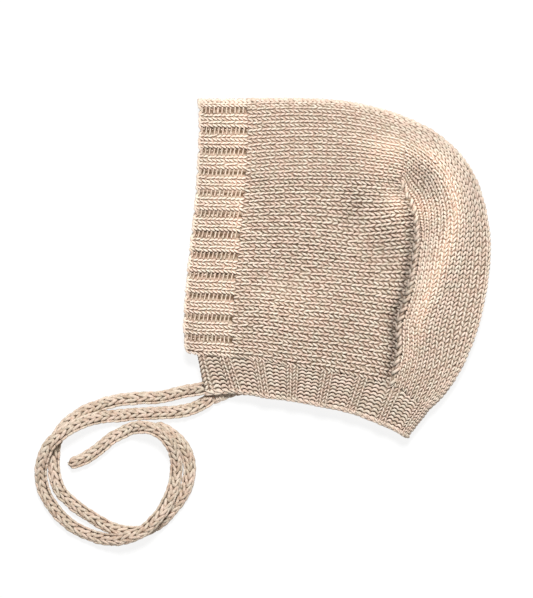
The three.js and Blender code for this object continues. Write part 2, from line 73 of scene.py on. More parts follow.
# Sizes of the folded bonnet and its pieces
DEPTH = 160.0
HEIGHT = 178.0
BAND_WIDTH = 25.0
BAND_OVERHANG = 5.7
NECK_BAND_HEIGHT = 19.5
STRIP_HALF_WIDTH = 41.0
STRIP_NAPE_WIDTH = 24.5
SEAM_WIDTH = 4.4
SEAM_HEIGHT = 4.0
TIE_DIAMETER = 5.9
GAP = 0.3
WALL = 2.6
RIB_WALL = 3.4
RIB_RECESS = 1.3
# The base's inner face lies this far within the wall, under the stitches of the inside
LINING_SUNK = 0.7

# Stitch counts: wales run from the face to the back, courses across them
WALE = 10.7 / 3
STRIP_WALES = 12.5
HALF_WALES = 38.5
STRIP_COLUMNS = 25
BAND_COURSES = 11
BAND_COLUMNS = 77
BAND_SHIFT = 0.34
RIB_PITCH = 3.0
RIB_COLUMNS = 26
FIRST_RIB = -39.0
RUNG_COLUMNS = 25
FIRST_RUNG = -36.0
RUNG_STEP = 0.96
GROOVE_HALF = 0.30
GROOVE_FLANK = 0.20
NECK_GROOVE_FLANK = 0.5
SIDE_COURSES = 33
HEEL_COURSES = 62
NECK_COURSES = 10
NECK_RIB_PITCH = 18.2
NECK_RIB = 7.2
FIRST_NECK_RIB = 13.8
EDGE_RIB = 4.0
NAPE_RIB = 14.0
FAR_HEM_DROP = 5.2
FAR_HEM_REACH = 12.0
INNER_COURSES = 14
FACE_SCALLOP = 0.8
SCALLOP_COURSES = 1.2
SEAM_STITCH = 4.7
TIE_STITCH = 4.0
TIE_WALES = 4
TIP_GIRTH = 0.12

# Unevenness of laid stitches: across the wale (share of that along it), in height, and how
# many courses a drift of the wales takes to fade
CROSS_SLACK = 0.7
LIFT_SLACK = 0.09
DRIFT_COURSES = 8

# How the cloth stands above the table
PANEL_LOFT = 15.0
BAND_FOLD_RISE = 6.8
NAPE_FOLD_RISE = 6.6
BACK_FOLD_RISE = 10.0
BACK_FOLD_ROLL = 18.0
RIDGE_LIFT = 12.5
RIDGE_REACH = 12.0
SWELL_LIFT = 10.0
CREASE_DEPTH = 6.0
CREASE_REACH = 5.5
CREASE_SHARES = (0.0, 0.4, 0.8, 1.0)
CREASE_DEPTHS = (0.25, 1.0, 1.0, 0.35)
HEM_FALL = 1.6
HEM_REACH = 9.0

# Sections round the fold: x, y (shares of depth and height), width (share of the strip's
# half width), turn (degrees from straight down), rise and roll (shares of the back fold's)
CROWN_SECTIONS = [
    (0.378, 0.999, 1.00, 0, 0.69, 0.39),
    (0.524, 0.991, 0.98, 0, 0.71, 0.42),
    (0.638, 0.969, 0.92, 2, 0.76, 0.55),
    (0.720, 0.945, 0.86, 4, 0.84, 0.76),
]
HEEL_SECTIONS = [
    (0.821, 0.899, 0.88, 27, 0.95, 0.94),
    (0.909, 0.827, 0.90, 47, 1.00, 1.00),
    (0.964, 0.739, 0.92, 64, 1.00, 1.00),
    (0.993, 0.636, 0.93, 81, 1.00, 1.00),
    (1.000, 0.546, 0.97, 89, 1.00, 1.00),
    (0.987, 0.432, 1.00, 91, 1.00, 1.00),
    (0.954, 0.307, 1.01, 99, 0.94, 0.86),
    (0.906, 0.204, 0.86, 109, 0.84, 0.62),
    (0.853, 0.130, 0.73, 118, 0.74, 0.45),
]

# Face edge from the top fold down: x, y
FACE_EDGE = [
    (0.047, 0.999),
    (0.052, 0.931),
    (0.050, 0.844),
    (0.039, 0.698),
    (0.023, 0.566),
    (0.010, 0.450),
    (0.002, 0.333),
]

# Lower edge of the neck band: x, y, lean (degrees), tall (share of the band's height)
NECK_SECTIONS = [
    (0.072, 0.131, -12, 1.12),
    (0.173, 0.136, -18, 1.07),
    (0.264, 0.123, -9, 1.04),
    (0.355, 0.112, 2, 0.93),
    (0.448, 0.096, 11, 0.96),
    (0.537, 0.079, 19, 0.98),
    (0.622, 0.051, 22, 1.06),
    (0.687, 0.025, 30, 0.98),
    (0.730, 0.001, 38, 0.95),
]

# Puffed ridge round the back: x, y, lift (share of the ridge's lift)
RIDGE_LINE = [
    (0.500, 0.880, 0.05),
    (0.687, 0.855, 0.45),
    (0.801, 0.820, 0.85),
    (0.868, 0.727, 1.00),
    (0.880, 0.645, 1.00),
    (0.845, 0.545, 1.00),
    (0.793, 0.429, 0.92),
    (0.754, 0.318, 0.70),
    (0.731, 0.225, 0.40),
    (0.722, 0.137, 0.05),
]

# Swells and dents: x, y, reach along and up (shares), lift (share of the swell's lift)
SWELLS = [
    (0.476, 0.406, 0.277, 0.248, 0.34),
    (0.690, 0.683, 0.059, 0.053, 0.42),
    (0.775, 0.762, 0.038, 0.036, -0.28),
    (0.654, 0.815, 0.055, 0.050, 0.22),
    (0.573, 0.643, 0.060, 0.062, -0.38),
    (0.650, 0.560, 0.055, 0.060, -0.42),
    (0.400, 0.500, 0.100, 0.053, -0.22),
    (0.290, 0.400, 0.078, 0.053, 0.30),
    (0.254, 0.295, 0.072, 0.041, -0.16),
    (0.110, 0.640, 0.090, 0.120, 0.10),
    (0.085, 0.140, 0.100, 0.080, -0.42),
]

# Sway of the rows of stitches within the side panels: x, y, reach along and up, shift in mm
SWAYS = [
    (0.589, 0.620, 0.130, 0.125, -2.2),
]

# Just before the seam the rows rise (shares of the panel) and the near panel dips (mm)
SEAM_PULL = 0.036
SEAM_PULL_POWER = 5
SEAM_PULL_REACH = 0.6
SEAM_DIP = 2.2
SEAM_DIP_COURSES = 1.3

# Behind the seam the courses are spaced along a line this far from the fold to the seam
HEEL_GUIDE = 0.45

# Painted light and shade on the near side, paler where the wool stands proud and darker in its
# hollows, as the light falls there: x, y, reach along and up, share by which it is paler
PAINTED_SHADE_SPOTS = [
    (0.715, 0.685, 0.060, 0.045, 0.30),
    (0.790, 0.668, 0.045, 0.035, 0.18),
    (0.660, 0.815, 0.080, 0.050, 0.18),
    (0.329, 0.383, 0.120, 0.050, 0.12),
    (0.660, 0.552, 0.050, 0.060, -0.18),
    (0.560, 0.660, 0.045, 0.060, -0.14),
    (0.788, 0.748, 0.036, 0.038, -0.24),
    (0.947, 0.742, 0.060, 0.130, -0.16),
    (0.850, 0.900, 0.080, 0.050, -0.16),
    (0.180, 0.680, 0.035, 0.300, 0.10),
    (0.040, 0.880, 0.035, 0.200, -0.15),
    (0.020, 0.230, 0.040, 0.110, -0.20),
]
# Painted highlight along the puffed ridge and painted shade along the seam's crease
RIDGE_PAINTED_LIGHT = 0.28
RIDGE_PAINTED_LIGHT_REACH = 4.6
CREASE_PAINTED_SHADE = -0.42
CREASE_PAINTED_SHADE_REACH = 2.8
CREASE_PAINTED_SHADE_SHIFT = (2.4, 0.0)

# Beneath raised wool the base gets stronger painted light, as light falls between the stitches; the
# face band is paler, the neck band darker
BASE_PAINTED_LIGHT = 2.3
BAND_BRIGHTNESS_SHIFT = 0.12
NECK_BRIGHTNESS_SHIFT = -0.05

# Painted light and shade begin at this height in mm and are whole this much higher
PAINTED_SHADE_FLOOR = 7
PAINTED_SHADE_RISE = 5

# Routes of the two ties from the bonnet's front corners to their free ends
TIE_NEAR_ROUTE = [
    (-69.9, -62.6, 8.0), (-74.6, -63.3, 6.4), (-81.4, -64.6, 4.2), (-92.3, -67.2, 3.0),
    (-103.2, -67.7, 3.0), (-114.1, -68.8, 3.0), (-121.4, -70.6, 3.0), (-125.6, -72.1, 3.0),
    (-129.7, -73.6, 3.0), (-133.4, -75.5, 3.0), (-137.3, -78.1, 3.0), (-141.2, -81.2, 3.0),
    (-144.8, -85.4, 3.0), (-147.2, -90.6, 3.0), (-147.9, -95.3, 3.0), (-148.2, -100.5, 3.0),
    (-148.0, -105.7, 3.0), (-147.0, -111.4, 3.0), (-144.3, -117.1, 3.0), (-139.1, -122.3, 3.0),
    (-132.9, -127.3, 3.0), (-127.1, -130.9, 3.0), (-121.4, -134.2, 3.0), (-115.7, -136.6, 3.0),
    (-110.0, -137.9, 3.0), (-104.0, -138.0, 3.0), (-98.0, -136.1, 3.0), (-91.8, -132.2, 3.0),
    (-86.8, -127.0, 3.0), (-82.3, -121.3, 3.0), (-79.0, -115.4, 3.0), (-77.3, -109.3, 3.0),
    (-77.0, -103.1, 3.0), (-78.3, -96.9, 3.0), (-81.5, -91.4, 3.0), (-85.9, -87.2, 3.0),
    (-90.7, -84.1, 3.0), (-95.9, -82.8, 3.0),
]
TIE_FAR_ROUTE = [
    (-66.6, -68.2, 3.0), (-71.5, -71.4, 3.0), (-76.7, -73.5, 3.0), (-84.5, -75.0, 3.0),
    (-92.3, -75.5, 3.0), (-100.1, -75.8, 3.0), (-107.9, -76.3, 3.0), (-115.7, -77.1, 3.0),
    (-121.9, -77.5, 4.2), (-128.1, -78.6, 6.9), (-133.4, -80.4, 8.8), (-137.3, -82.1, 9.6),
    (-141.3, -84.5, 9.7), (-146.6, -88.7, 9.7), (-150.5, -92.7, 9.2), (-152.9, -98.0, 7.8),
    (-154.4, -103.3, 5.8), (-154.8, -108.3, 4.0), (-154.1, -114.0, 3.0), (-151.9, -119.7, 3.0),
    (-147.9, -125.7, 3.0), (-142.7, -131.4, 3.0), (-136.0, -136.4, 3.0), (-128.2, -139.8, 3.2),
    (-121.4, -141.5, 5.0), (-115.2, -141.7, 7.6), (-109.5, -140.5, 9.3), (-103.7, -138.2, 9.7),
    (-98.5, -135.1, 9.7), (-94.4, -130.9, 9.6), (-90.7, -126.2, 9.0), (-87.6, -120.5, 7.8),
    (-85.3, -114.5, 6.2), (-84.0, -108.3, 5.0), (-83.7, -103.1, 4.8), (-84.2, -97.9, 6.0),
    (-85.8, -93.0, 8.2), (-88.7, -88.5, 9.5), (-92.3, -85.4, 9.7), (-97.0, -83.2, 9.5),
    (-101.9, -82.7, 7.2), (-107.4, -83.6, 4.2), (-112.6, -85.9, 3.0), (-118.3, -89.0, 3.0),
    (-125.3, -94.8, 3.0), (-133.4, -99.9, 3.0), (-140.4, -102.3, 3.0),
]


# Lines in plan

def in_plan(rows):
    rows = np.array([row[:2] for row in rows], float)
    return (rows - 0.5) * (DEPTH, HEIGHT)


def between(a, b, share):
    share = np.asarray(share, float)
    if np.ndim(a) or np.ndim(b):
        share = share[..., None]
    return a + (b - a) * share


def curve(points):
    """A smooth line through points, as a function of a share from 0 to 1."""
    points = np.asarray(points, float)
    last = len(points) - 1

    def at(share):
        spot = np.clip(np.asarray(share, float), 0, 1) * last
        i = np.minimum(spot.astype(int), last - 1)
        w = (spot - i)[..., None]
        a, b = points[i], points[i + 1]
        pull_a = (b - points[np.maximum(i - 1, 0)]) / 2
        pull_b = (points[np.minimum(i + 2, last)] - a) / 2
        cubic = 2 * a - 2 * b + pull_a + pull_b
        square = -3 * a + 3 * b - 2 * pull_a - pull_b
        return cubic * w**3 + square * w**2 + pull_a * w + a

    return at


def by_length(line, low=0.0, high=1.0):
    """The same line as a function of its share of length, and the length."""
    shares = np.linspace(low, high, 801)
    steps = np.linalg.norm(np.diff(line(shares), axis=0), axis=1)
    run = np.concatenate(([0], np.cumsum(steps)))
    return (lambda share: line(np.interp(share, run / run[-1], shares))), run[-1]


def leaning(rows, sizes, degrees):
    turn = np.radians(degrees)
    away = np.stack((np.sin(turn), np.cos(turn)), -1)
    return in_plan(rows) + away * np.asarray(sizes)[:, None]


hem_points = in_plan(NECK_SECTIONS)
hem_line = curve(hem_points)
neck_top = curve(leaning(
    NECK_SECTIONS,
    [NECK_BAND_HEIGHT * row[3] for row in NECK_SECTIONS],
    [row[2] for row in NECK_SECTIONS],
))
neck_top_even, NECK_TOP_LENGTH = by_length(neck_top)

band_corner = neck_top(0.0) + (-BAND_OVERHANG, 1.0)
face_line, FACE_LENGTH = by_length(curve(np.vstack((in_plan(FACE_EDGE), band_corner))))
BAND_END = (BAND_WIDTH - BAND_OVERHANG) / NECK_TOP_LENGTH
join_bottom = neck_top_even(BAND_END) - band_corner
CROWN_START = STRIP_HALF_WIDTH / FACE_LENGTH


def join_line(v):
    return face_line(v) + between(np.array((BAND_WIDTH, 0.0)), join_bottom, v)


NAPE_START = 1 - STRIP_NAPE_WIDTH / NECK_TOP_LENGTH
FOLD_ROWS = CROWN_SECTIONS + HEEL_SECTIONS
fold_line = curve(np.vstack((join_line(0.0), in_plan(FOLD_ROWS), neck_top(1.0))))
inner_line = curve(np.vstack((
    join_line(CROWN_START),
    leaning(
        FOLD_ROWS,
        [-STRIP_HALF_WIDTH * row[2] for row in FOLD_ROWS],
        [row[3] for row in FOLD_ROWS],
    ),
    neck_top_even(NAPE_START),
)))
SEAM_START = len(CROWN_SECTIONS) / (len(FOLD_ROWS) + 1)
seam_line, SEAM_LENGTH = by_length(inner_line, SEAM_START, 1.0)

FOLD_RISES = [BAND_FOLD_RISE] + [row[4] * BACK_FOLD_RISE for row in FOLD_ROWS] + [NAPE_FOLD_RISE]
FOLD_ROLLS = [BAND_FOLD_RISE] + [row[5] * BACK_FOLD_ROLL for row in FOLD_ROWS] + [NAPE_FOLD_RISE]
FOLD_SHARES = np.linspace(0, 1, len(FOLD_RISES))


# Heights of the near layer, and of both layers at the rolled fold

def nearest_on(chain, points):
    """Distance in plan to a chain of points, and the share of the chain where it is met."""
    step = np.diff(chain, axis=0)
    along = ((points[:, None] - chain[:-1]) * step).sum(-1) / (step**2).sum(-1)
    held = np.clip(along, 0, 1)
    meet = chain[:-1] + step * held[..., None]
    far = np.linalg.norm(points[:, None] - meet, axis=-1)
    best = far.argmin(1)
    rows = np.arange(len(points))
    return far[rows, best], (best + held[rows, best]) / len(step)


def bell(distance, reach):
    return np.exp(-((distance / reach) ** 2))


ridge_chain = curve(in_plan(RIDGE_LINE))(np.linspace(0, 1, 43))
seam_chain = inner_line(np.linspace(SEAM_START, 1, 43))
hem_chain = hem_line(np.linspace(0, 1, 43))
RIDGE_SHARES = np.linspace(0, 1, len(RIDGE_LINE))
RIDGE_LIFTS = [row[2] for row in RIDGE_LINE]


def crease_at(points):
    """Depth of the crease at the nearest place of the seam, and the distance to it."""
    distance, share = nearest_on(seam_chain, points)
    return CREASE_DEPTH * np.interp(share, CREASE_SHARES, CREASE_DEPTHS), distance


def near_height(points):
    shape = points.shape[:-1]
    points = points.reshape(-1, 2)
    distance, share = nearest_on(ridge_chain, points)
    lift = np.interp(share, RIDGE_SHARES, RIDGE_LIFTS)
    height = PANEL_LOFT + RIDGE_LIFT * lift * bell(distance, RIDGE_REACH)
    for row in SWELLS:
        away = (points - in_plan([row])[0]) / (row[2] * DEPTH, row[3] * HEIGHT)
        height = height + SWELL_LIFT * row[4] * bell(np.linalg.norm(away, axis=1), 1)
    depth, distance = crease_at(points)
    height = height - depth * bell(distance, CREASE_REACH)
    height = height - HEM_FALL * bell(nearest_on(hem_chain, points)[0], HEM_REACH)
    return height.reshape(shape)


# Painted light and shade of the near layer: paler on its ridge and swells, darker in its crease and
# hollows
def painted_shade_at(points):
    plan = points[:, :2]
    distance, share = nearest_on(ridge_chain, plan)
    painted_shade_and_brightness = RIDGE_PAINTED_LIGHT * np.interp(share, RIDGE_SHARES, RIDGE_LIFTS) * bell(distance, RIDGE_PAINTED_LIGHT_REACH)
    depth, distance = crease_at(plan + CREASE_PAINTED_SHADE_SHIFT)
    painted_shade_and_brightness = painted_shade_and_brightness + CREASE_PAINTED_SHADE * depth / CREASE_DEPTH * bell(distance, CREASE_PAINTED_SHADE_REACH)
    for row in PAINTED_SHADE_SPOTS:
        away = (plan - in_plan([row])[0]) / (row[2] * DEPTH, row[3] * HEIGHT)
        painted_shade_and_brightness = painted_shade_and_brightness + row[4] * bell(np.linalg.norm(away, axis=1), 1)
    return painted_shade_and_brightness * np.clip((points[:, 2] - PAINTED_SHADE_FLOOR) / PAINTED_SHADE_RISE, 0, 1)


def round_off(distance, radius):
    share = np.minimum(distance / radius, 1)
    return np.sqrt(1 - (1 - share) ** 2)


def lifted(side, plan, rise, roll):
    """Points of one layer over paths in plan that start at the fold, and length so far."""
    steps = np.linalg.norm(np.diff(plan, axis=0), axis=-1)
    flat = np.concatenate((np.zeros((1,) + steps.shape[1:]), np.cumsum(steps, axis=0)))
    if side == "near":
        z = rise + (near_height(plan) - rise) * round_off(flat, roll)
    else:
        z = rise * (1 - round_off(flat, rise))
    points = np.concatenate((plan, z[..., None]), axis=-1)
    steps = np.linalg.norm(np.diff(points, axis=0), axis=-1)
    run = np.concatenate((np.zeros((1,) + steps.shape[1:]), np.cumsum(steps, axis=0)))
    return points, run


def tied(line, start, end):
    """A line moved at its ends only, so that it starts and stops where its neighbours do."""
    start_shift = start - line(0.0)
    end_shift = end - line(1.0)

    def at(v):
        v = np.asarray(v, float)[..., None]
        return line(v[..., 0]) + start_shift * (1 - v) ** 6 + end_shift * v**6

    return at


def patch(top, bottom, left_side, right_side):
    left = tied(left_side, top(0.0), bottom(0.0))
    right = tied(right_side, top(1.0), bottom(1.0))

    def at(u, v):
        across = between(left(v), right(v), u)
        down = between(top(u), bottom(u), v)
        corners = between(between(top(0.0), top(1.0), u), between(bottom(0.0), bottom(1.0), u), v)
        return across + down - corners

    return at


# Cloth: a grid of points with the numbers of the wales and courses that run through them

class Cloth:
    def __init__(self, wales, courses, points, relief=None):
        self.wales = wales
        self.courses = courses
        self.points = points
        self.relief = relief
        down = np.gradient(points, axis=0)
        along = np.gradient(points, axis=1)
        normals = np.cross(down, along)
        self.normals = normals / np.linalg.norm(normals, axis=-1, keepdims=True)

    def at(self, wale, course, height):
        """Points over the cloth, height in millimetres above its outer face."""
        if self.relief is not None:
            height = height + self.relief(wale, course)
        row = np.interp(wale, self.wales, np.arange(len(self.wales)))
        column = np.interp(course, self.courses, np.arange(len(self.courses)))
        row = row + self.past(wale, self.wales)
        column = column + self.past(course, self.courses)
        i = np.clip(row.astype(int), 0, len(self.wales) - 2)
        j = np.clip(column.astype(int), 0, len(self.courses) - 2)
        u = (row - i)[:, None]
        v = (column - j)[:, None]

        def blend(grid):
            near = grid[i, j] * (1 - v) + grid[i, j + 1] * v
            far = grid[i + 1, j] * (1 - v) + grid[i + 1, j + 1] * v
            return near * (1 - u) + far * u

        return blend(self.points) + blend(self.normals) * np.asarray(height)[:, None]

    @staticmethod
    def past(value, marks):
        """Steps of the grid that a value lies before its first or past its last mark."""
        before = np.minimum(value - marks[0], 0) / (marks[1] - marks[0])
        after = np.maximum(value - marks[-1], 0) / (marks[-1] - marks[-2])
        return before + after


def inside(cloth, thickness, courses=None):
    """The inner face of a cloth, with its wales counted the other way round."""
    last = cloth.courses[-1] if courses is None else courses
    kept = cloth.courses[cloth.courses <= last]
    w, c = np.meshgrid(cloth.wales, kept, indexing="ij")
    points = cloth.at(w.ravel(), c.ravel(), np.full(w.size, -thickness)).reshape(w.shape + (3,))
    return Cloth(-cloth.wales[::-1], kept, points[::-1])


PATH_SHARES = np.linspace(0, 1, 121) ** 2


def over_fold(plan, rise, roll, marks, places):
    """A grid over the fold: plan holds the paths of one layer, marks are rows from the far
    layer to the near one, and places says for each side how far along its paths every row
    lies."""
    sides = {side: lifted(side, plan, rise, roll) for side in ("near", "far")}
    columns = sides["near"][0].shape[1]
    grid = np.zeros((len(marks), columns, 3))
    for column in range(columns):
        for side, sign in (("far", -1), ("near", 1)):
            points, run = sides[side]
            rows = marks * sign >= 0
            arcs = places(side, marks[rows] * sign, run[:, column])
            for axis in range(3):
                grid[rows, column, axis] = np.interp(arcs, run[:, column], points[:, column, axis])
    return grid


def rib_relief(recess, grooves, flank):
    """Depth of the sunk wales: grooves are pairs of middle and half width."""

    def at(wale, course):
        depth = np.zeros_like(wale)
        for middle, half in grooves:
            edge = np.clip((half + flank - np.abs(wale - middle)) / (2 * flank), 0, 1)
            depth = np.maximum(depth, edge * edge * (3 - 2 * edge))
        return -recess * depth

    return at


def front_band_cloth():
    def bottom(u):
        along = np.asarray(u, float) * BAND_WIDTH - BAND_OVERHANG
        corner = between(band_corner, neck_top(0.0), 1 + along / BAND_OVERHANG)
        rest = neck_top_even(np.maximum(along, 0) / NECK_TOP_LENGTH)
        return np.where((along < 0)[..., None], corner, rest)

    plan = patch(
        lambda u: between(face_line(0.0), join_line(0.0), u), bottom, face_line, join_line
    )
    courses = np.linspace(0, BAND_COURSES, 45)
    wales = np.linspace(-HALF_WALES, HALF_WALES, 309)
    u, v = np.meshgrid(courses / BAND_COURSES, PATH_SHARES)
    rise = BAND_FOLD_RISE

    def places(side, row, run):
        return row / HALF_WALES * (run[-1] - GAP / 2)

    points = over_fold(plan(u, v), rise, rise, wales, places)
    rungs = [FIRST_RUNG + RIB_PITCH * k for k in range(RUNG_COLUMNS)]
    grooves = [(wale + BAND_SHIFT, GROOVE_HALF) for wale in rungs]
    relief = rib_relief(RIB_RECESS, grooves, GROOVE_FLANK)
    sunk = -relief(wales, wales) / RIB_RECESS
    points[:, :, 0] += FACE_SCALLOP * sunk[:, None] * np.exp(-courses / SCALLOP_COURSES)
    return Cloth(wales, courses, points, relief)


def strip_shares(courses):
    """Share along the strip's sections for each course from the face band to the nape."""
    shares = np.linspace(0, 1, 401)
    crown = shares <= SEAM_START
    inner = inner_line(shares)
    middle = between(fold_line(shares), inner, HEEL_GUIDE)
    guide = np.where(crown[:, None], inner, middle)
    steps = np.linalg.norm(np.diff(guide, axis=0), axis=1)
    steps[crown.sum() - 1] = steps[crown.sum()]
    run = np.concatenate(([0], np.cumsum(steps)))
    turn = run[crown.sum() - 1]
    counted = np.where(
        crown, SIDE_COURSES * run / turn, SIDE_COURSES + HEEL_COURSES * (run - turn) / (run[-1] - turn)
    )
    return np.interp(courses, counted, shares)


def crown_strip_cloth():
    plan = patch(
        fold_line,
        inner_line,
        lambda t: join_line(np.asarray(t) * CROWN_START),
        lambda t: neck_top_even(between(1.0, NAPE_START, t)),
    )
    courses = np.linspace(0, SIDE_COURSES + HEEL_COURSES, 2 * (SIDE_COURSES + HEEL_COURSES) + 1)
    shares = strip_shares(courses)
    wales = np.linspace(-STRIP_WALES, STRIP_WALES, 101)
    s, t = np.meshgrid(shares, PATH_SHARES)
    rise = np.interp(s, FOLD_SHARES, FOLD_RISES)
    roll = np.interp(s, FOLD_SHARES, FOLD_ROLLS)

    def places(side, row, run):
        return row / STRIP_WALES * run[-1]

    points = over_fold(plan(s, t), rise, roll, wales, places)
    return Cloth(wales, courses, points)


def side_panel_cloth(side):
    plan = patch(
        lambda u: inner_line(strip_shares(np.asarray(u) * SIDE_COURSES)),
        lambda u: neck_top_even(between(BAND_END, NAPE_START, u)),
        lambda v: join_line(between(CROWN_START, 1.0, v)),
        seam_line,
    )
    courses = np.linspace(0, SIDE_COURSES, 2 * SIDE_COURSES + 1)
    wales = np.linspace(STRIP_WALES, HALF_WALES, 79)
    u, v = np.meshgrid(courses / SIDE_COURSES, (wales - STRIP_WALES) / (HALF_WALES - STRIP_WALES))
    swing = np.sin(np.pi * np.minimum(v / SEAM_PULL_REACH, 1))
    flat = plan(u, v - SEAM_PULL * u**SEAM_PULL_POWER * swing)
    from_edges = (1 - (1 - 4 * v * (1 - v)) ** 2) * (1 - (1 - 4 * u * (1 - u)) ** 2)
    for row in SWAYS:
        away = (flat - in_plan([row])[0]) / (row[2] * DEPTH, row[3] * HEIGHT)
        flat[..., 1] += row[4] * bell(np.linalg.norm(away, axis=-1), 1) * from_edges
    if side == "near":
        # The dip starts a fifth of the way down the panel
        share = np.clip(4 * v - 0.8, 0, 1)
        dip = SEAM_DIP * bell(SIDE_COURSES - courses, SEAM_DIP_COURSES) * share
        points = np.concatenate((flat, (near_height(flat) - dip)[..., None]), axis=-1)
        return Cloth(wales, courses, points)
    points = np.concatenate((flat, np.zeros(flat.shape[:2] + (1,))), axis=-1)
    return Cloth(-wales[::-1], courses, points[::-1])


def neck_band_cloth():
    """Rows are millimetres along the band's top from the nape fold, columns its courses. With
    the cloth come its raised ribs, (sign of the side, pairs of middle and half width)."""
    courses = np.linspace(0, NECK_COURSES, 37)
    v, share = np.meshgrid(courses / NECK_COURSES, PATH_SHARES)
    plan = between(neck_top(1 - share), hem_line(1 - share), v)
    lengths = {}
    top_runs = {}
    for side in ("near", "far"):
        run = lifted(side, plan[:, :1], NAPE_FOLD_RISE, NAPE_FOLD_RISE)[1][:, 0]
        top_runs[side] = run
        lengths[side] = run[-1]
    rows = np.linspace(-lengths["far"], lengths["near"], 501)

    def places(side, row, run):
        share_here = np.interp(row, top_runs[side], PATH_SHARES)
        return np.interp(share_here, PATH_SHARES, run)

    points = over_fold(plan, NAPE_FOLD_RISE, NAPE_FOLD_RISE, rows, places)
    from_front = np.abs(rows + lengths["far"])
    drop = FAR_HEM_DROP * bell(from_front, FAR_HEM_REACH) * (rows < 0)
    points[:, :, 1] -= drop[:, None] * (courses / NECK_COURSES)
    ribs = []
    for side, sign in (("near", 1), ("far", -1)):
        length = lengths[side]
        raised = [(length, EDGE_RIB)]
        along = FIRST_NECK_RIB
        while along < length - NAPE_RIB - NECK_RIB:
            raised.append((length - along, NECK_RIB / 2))
            along += NECK_RIB_PITCH
        raised.append((0.0, NAPE_RIB))
        ribs.append((sign, raised))
    return Cloth(rows, courses, points), ribs


# Stitches: one is modelled on unit axes, x along the wale in courses, y across it in wales,
# z up in millimetres, then repeated to a flat swatch and laid on the cloth

def pick_nothing():
    bpy.ops.object.select_all(action="DESELECT")


def vertices_of(piece):
    flat = np.empty(len(piece.data.vertices) * 3)
    piece.data.vertices.foreach_get("co", flat)
    return flat.reshape(-1, 3)


def move_vertices(piece, points):
    piece.data.vertices.foreach_set("co", np.ascontiguousarray(points, float).ravel())
    piece.data.update()


def plump_bit(name):
    """A blunt-ended bit of yarn and its unit coordinates: along, across and up."""
    pick_nothing()
    bpy.ops.mesh.primitive_uv_sphere_add(segments=6, ring_count=5, radius=1)
    piece = bpy.context.object
    piece.name = name
    points = vertices_of(piece)
    girth = np.linalg.norm(points[:, :2], axis=1)
    plump = np.where(girth > 1e-6, girth ** 0.6 / np.maximum(girth, 1e-6), 0)
    return piece, points[:, 2], points[:, 0] * plump, points[:, 1] * plump


def leg(start, end, width, thick, arch):
    """Yarn that runs mostly along the wale between two points and rises in its middle."""
    piece, along, across, up = plump_bit("leg")
    start, end = np.array(start, float), np.array(end, float)
    line = start + (end - start) * ((along + 1) / 2)[:, None]
    line[:, 1] += across * width
    line[:, 2] += arch * (1 - along**2) + up * thick
    move_vertices(piece, line)
    return piece


def bar(reach, lean, bow, width, depth, thick, arch):
    """Yarn that runs across the wale: lean tilts it and bow waves it, both in courses."""
    piece, along, across, up = plump_bit("bar")
    line = np.zeros((len(along), 3))
    line[:, 0] = lean * along - bow * np.cos(math.pi * along) + across * width
    line[:, 1] = reach * along
    line[:, 2] = depth + arch * (1 - along**2) + up * thick
    move_vertices(piece, line)
    piece.data.flip_normals()
    return piece


def joined(name, pieces):
    pick_nothing()
    for piece in pieces:
        piece.select_set(True)
    bpy.context.view_layer.objects.active = pieces[0]
    if len(pieces) > 1:
        bpy.ops.object.join()
    pieces[0].name = name
    return pieces[0]


def repeated(unit, name, along, across=(1, 1.0)):
    """Copies of a unit in a flat swatch: along and across are (how many, step)."""
    pick_nothing()
    unit.select_set(True)
    bpy.context.view_layer.objects.active = unit
    bpy.ops.object.duplicate()
    piece = bpy.context.object
    piece.name = name
    for axis, (count, step) in enumerate((along, across)):
        array = piece.modifiers.new("row", "ARRAY")
        array.use_relative_offset = False
        array.use_constant_offset = True
        array.count = count
        offset = [0.0, 0.0, 0.0]
        offset[axis] = step
        array.constant_offset_displace = offset
        bpy.ops.object.modifier_apply(modifier=array.name)
    return piece


def put(piece, name, values):
    layer = piece.data.attributes.new(name, "FLOAT", "POINT")
    layer.data.foreach_set("value", np.ascontiguousarray(values, float))


def laid(piece, cloth, seed, first=(0.0, 0.0), slack=0.045, drift=0.0, painted_light_bias=0.0):
    """Lays a swatch on the cloth with a little unevenness from stitch to stitch."""
    rng = np.random.default_rng(seed)
    points = vertices_of(piece)
    strands = len(points) // BIT_POINTS
    which = np.repeat(np.arange(strands), BIT_POINTS)
    shift = rng.normal(0, 1, (strands, 3)) * (slack, slack * CROSS_SLACK, LIFT_SLACK)
    points = points + shift[which]
    course = first[0] + points[:, 0]
    wale = first[1] + points[:, 1] + drift * np.exp(-course / DRIFT_COURSES)
    move_vertices(piece, cloth.at(wale, course, points[:, 2]))
    # Each stitch's tone is random about the bias; the bias paints raised wales paler and rungs in
    # recesses darker: painted light and shade
    put(piece, "tone", rng.normal(painted_light_bias, 1, strands)[which])
    piece.data.flip_normals()
    return piece


